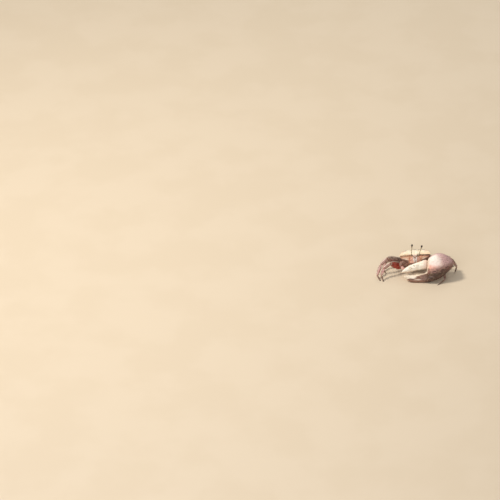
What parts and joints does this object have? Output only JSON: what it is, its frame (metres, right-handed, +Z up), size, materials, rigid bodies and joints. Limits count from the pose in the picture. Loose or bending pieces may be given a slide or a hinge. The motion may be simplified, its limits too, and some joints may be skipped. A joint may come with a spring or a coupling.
{
  "type": "fiddler crab model",
  "caption": "Life-size still model of a male fiddler crab, standing with its large claw folded across its front and its eyes raised on stalks.",
  "frame": {"origin": "centre of the footprint on the floor, under the middle of the model's box", "axes": "+Z up, the crab's face looks towards -Y and its left side, which carries the large claw, is at +X"},
  "size_m": [0.0769, 0.044, 0.0318],
  "materials": {
    "back_shell": "satin shell",
    "underside": "satin shell",
    "face": "satin shell",
    "mouthparts": "satin shell",
    "tail_flap": "satin shell",
    "eyestalks": "smooth",
    "eyes": "glossy",
    "claw_palm": "finely grained",
    "claw_finger": "smooth",
    "claw_wrist": "finely grained",
    "claw_arm": "finely grained",
    "small_claw": "satin shell",
    "leg_thighs": "satin shell",
    "leg_wrists": "satin shell",
    "leg_shins": "satin shell",
    "leg_toes": "satin shell"
  },
  "bodies": {
    "root": {"big_claw_arm": "claw_arm", "big_claw_finger": "claw_finger", "big_claw_palm": "claw_palm", "big_claw_wrist": "claw_wrist", "breastplate": "underside", "carapace": "back_shell", "eye_left": "eyes", "eye_right": "eyes", "eyestalk_left": "eyestalks", "eyestalk_right": "eyestalks", "face": "face", "leg_left_1_shin": "leg_shins", "leg_left_1_thigh": "leg_thighs", "leg_left_1_toe": "leg_toes", "leg_left_1_wrist": "leg_wrists", "leg_left_2_shin": "leg_shins", "leg_left_2_thigh": "leg_thighs", "leg_left_2_toe": "leg_toes", "leg_left_2_wrist": "leg_wrists", "leg_left_3_shin": "leg_shins", "leg_left_3_thigh": "leg_thighs", "leg_left_3_toe": "leg_toes", "leg_left_3_wrist": "leg_wrists", "leg_left_4_shin": "leg_shins", "leg_left_4_thigh": "leg_thighs", "leg_left_4_toe": "leg_toes", "leg_left_4_wrist": "leg_wrists", "leg_right_1_shin": "leg_shins", "leg_right_1_thigh": "leg_thighs", "leg_right_1_toe": "leg_toes", "leg_right_1_wrist": "leg_wrists", "leg_right_2_shin": "leg_shins", "leg_right_2_thigh": "leg_thighs", "leg_right_2_toe": "leg_toes", "leg_right_2_wrist": "leg_wrists", "leg_right_3_shin": "leg_shins", "leg_right_3_thigh": "leg_thighs", "leg_right_3_toe": "leg_toes", "leg_right_3_wrist": "leg_wrists", "leg_right_4_shin": "leg_shins", "leg_right_4_thigh": "leg_thighs", "leg_right_4_toe": "leg_toes", "leg_right_4_wrist": "leg_wrists", "mouthpart_left": "mouthparts", "mouthpart_right": "mouthparts", "small_claw_arm": "small_claw", "small_claw_finger": "small_claw", "small_claw_hand": "small_claw", "small_claw_wrist": "small_claw", "tail_flap": "tail_flap"}
  },
  "joints": []
}
